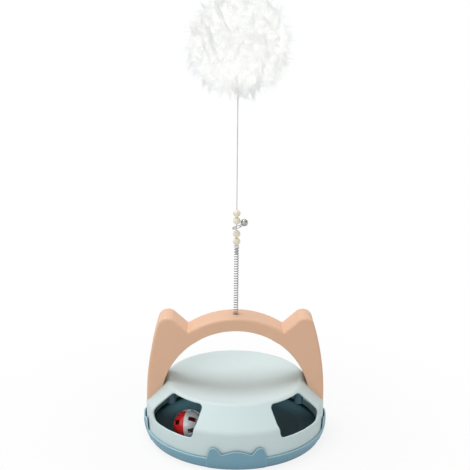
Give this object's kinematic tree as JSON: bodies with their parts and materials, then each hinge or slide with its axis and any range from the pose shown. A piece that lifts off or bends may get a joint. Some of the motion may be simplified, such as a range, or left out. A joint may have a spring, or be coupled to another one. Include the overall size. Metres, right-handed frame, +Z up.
{
  "type": "cat feather toy",
  "caption": "Round ball track toy for cats: tray, dished cover with paw windows, slotted ball, and an arch with ears that carries a spring, beads, a bell and a feather puff.",
  "frame": {"origin": "on the floor, under the middle of the tray", "axes": "+Z up along the spring and wand, -Y to the front, +Y to the arch's screwed rear cover, +X to the right"},
  "size_m": [0.2436, 0.2436, 0.568],
  "materials": {
    "blue_plastic": "satin",
    "mint_plastic": "satin",
    "tan_plastic": "satin",
    "white_plastic": "gloss",
    "rubber": "matte",
    "screw_steel": "satin",
    "spring_steel": "polished",
    "wire_steel": "satin",
    "cream_bead": "gloss",
    "bell_metal": "polished",
    "binding_thread": "matte",
    "feather": "matte",
    "ball_red": "gloss",
    "ball_white": "gloss"
  },
  "bodies": {
    "base": {"base_tray": "blue_plastic", "track_cover": "mint_plastic", "rubber_feet": "rubber", "cover_screws": "screw_steel", "arch_shell": "tan_plastic", "arch_rear_cover": "tan_plastic", "rear_cover_screws": "screw_steel", "arch_retainer_left": "blue_plastic", "arch_retainer_right": "blue_plastic", "retainer_screws": "screw_steel", "spring_socket": "tan_plastic", "spring_screw": "screw_steel"},
    "spring": {"coil_spring": "spring_steel"},
    "wand": {"spring_cap": "white_plastic", "wand_wire": "wire_steel", "feather_binding": "binding_thread", "feather_puff": "feather"},
    "bead_1": {"bead_1": "cream_bead"},
    "bead_2": {"bead_2": "cream_bead"},
    "bead_3": {"bead_3": "cream_bead"},
    "bead_4": {"bead_4": "cream_bead"},
    "bell_ring": {"bell_ring": "bell_metal"},
    "bell": {"bell_upper": "bell_metal", "bell_lower": "bell_metal"},
    "bell_pellet": {"bell_pellet": "bell_metal"},
    "ball_bell": {"ball_bell": "bell_metal"},
    "ball": {"ball_red_half": "ball_red", "ball_white_half": "ball_white"},
    "ball_pellet": {"ball_pellet": "bell_metal"}
  },
  "joints": [
    {"name": "ball_orbit", "type": "hinge", "parent": "base", "child": "ball_bell", "pos_m": [0, 0, 0.02475], "axis": [0, 0, 1], "continuous": true},
    {"name": "ball_roll", "type": "hinge", "parent": "ball_bell", "child": "ball", "pos_m": [-0.06035, -0.03889, 0.02475], "axis": [-0.8406, -0.5417, 0], "continuous": true},
    {"name": "ball_pellet_slide", "type": "slide", "parent": "ball_bell", "child": "ball_pellet", "axis": [0, 0, 1], "range_m": [0, 0.0075]},
    {"name": "spring_sway_side", "type": "hinge", "parent": "base", "child": "spring", "pos_m": [0, 0, 0.186], "axis": [0, 1, 0], "range_deg": [-45, 45], "stiffness_Nm_per_rad": 0.12, "deforming": ["coil_spring"]},
    {"name": "spring_sway_fore", "type": "hinge", "parent": "spring", "child": "wand", "pos_m": [0, 0, 0.23], "axis": [1, 0, 0], "range_deg": [-45, 45], "stiffness_Nm_per_rad": 0.12, "deforming": ["coil_spring"]},
    {"name": "bead_1_spin", "type": "hinge", "parent": "wand", "child": "bead_1", "pos_m": [0, 0, 0.3007], "axis": [0, 0, 1], "continuous": true},
    {"name": "bead_2_spin", "type": "hinge", "parent": "wand", "child": "bead_2", "pos_m": [0, 0, 0.2908], "axis": [0, 0, 1], "continuous": true},
    {"name": "bead_3_spin", "type": "hinge", "parent": "wand", "child": "bead_3", "pos_m": [0, 0, 0.2735], "axis": [0, 0, 1], "continuous": true},
    {"name": "bead_4_spin", "type": "hinge", "parent": "wand", "child": "bead_4", "pos_m": [0, 0, 0.2636], "axis": [0, 0, 1], "continuous": true},
    {"name": "bell_ring_turn", "type": "hinge", "parent": "wand", "child": "bell_ring", "pos_m": [0, 0, 0.28215], "axis": [0, 0, 1], "continuous": true},
    {"name": "bell_swing", "type": "hinge", "parent": "bell_ring", "child": "bell", "pos_m": [0.00514, 0, 0.28382], "axis": [0, 1, 0], "range_deg": [0, 95]},
    {"name": "bell_pellet_slide", "type": "slide", "parent": "bell", "child": "bell_pellet", "axis": [0.7071, 0, 0.7071], "range_m": [0, 0.005]}
  ],
  "couplings": [
    {"joint": "ball_roll", "follows": "ball_orbit", "ratio": -3.5024}
  ]
}
